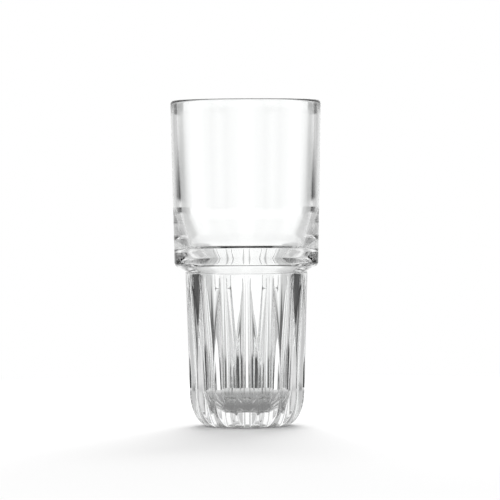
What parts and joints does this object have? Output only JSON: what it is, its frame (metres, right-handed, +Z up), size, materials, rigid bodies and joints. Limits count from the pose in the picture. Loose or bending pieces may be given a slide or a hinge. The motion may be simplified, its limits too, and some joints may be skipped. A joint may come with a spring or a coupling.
{
  "type": "highball glass",
  "caption": "Tall stacking drinking glass with a plain upper bowl, a stepped shoulder and a narrower fluted lower bowl on a heavy base.",
  "frame": {"origin": "middle of the circle that the glass rests on, at the foot's lowest level", "axes": "+Z up along the glass's axis, one flute faces -Y, +X to the right of a viewer who looks along +Y"},
  "size_m": [0.072, 0.072, 0.156],
  "materials": {
    "clear_glass": "fire-polished clear pressed glass"
  },
  "bodies": {
    "root": {"rim": "clear_glass", "upper_wall": "clear_glass", "stacking_shoulder": "clear_glass", "fluted_wall": "clear_glass", "heavy_base": "clear_glass"}
  },
  "joints": []
}
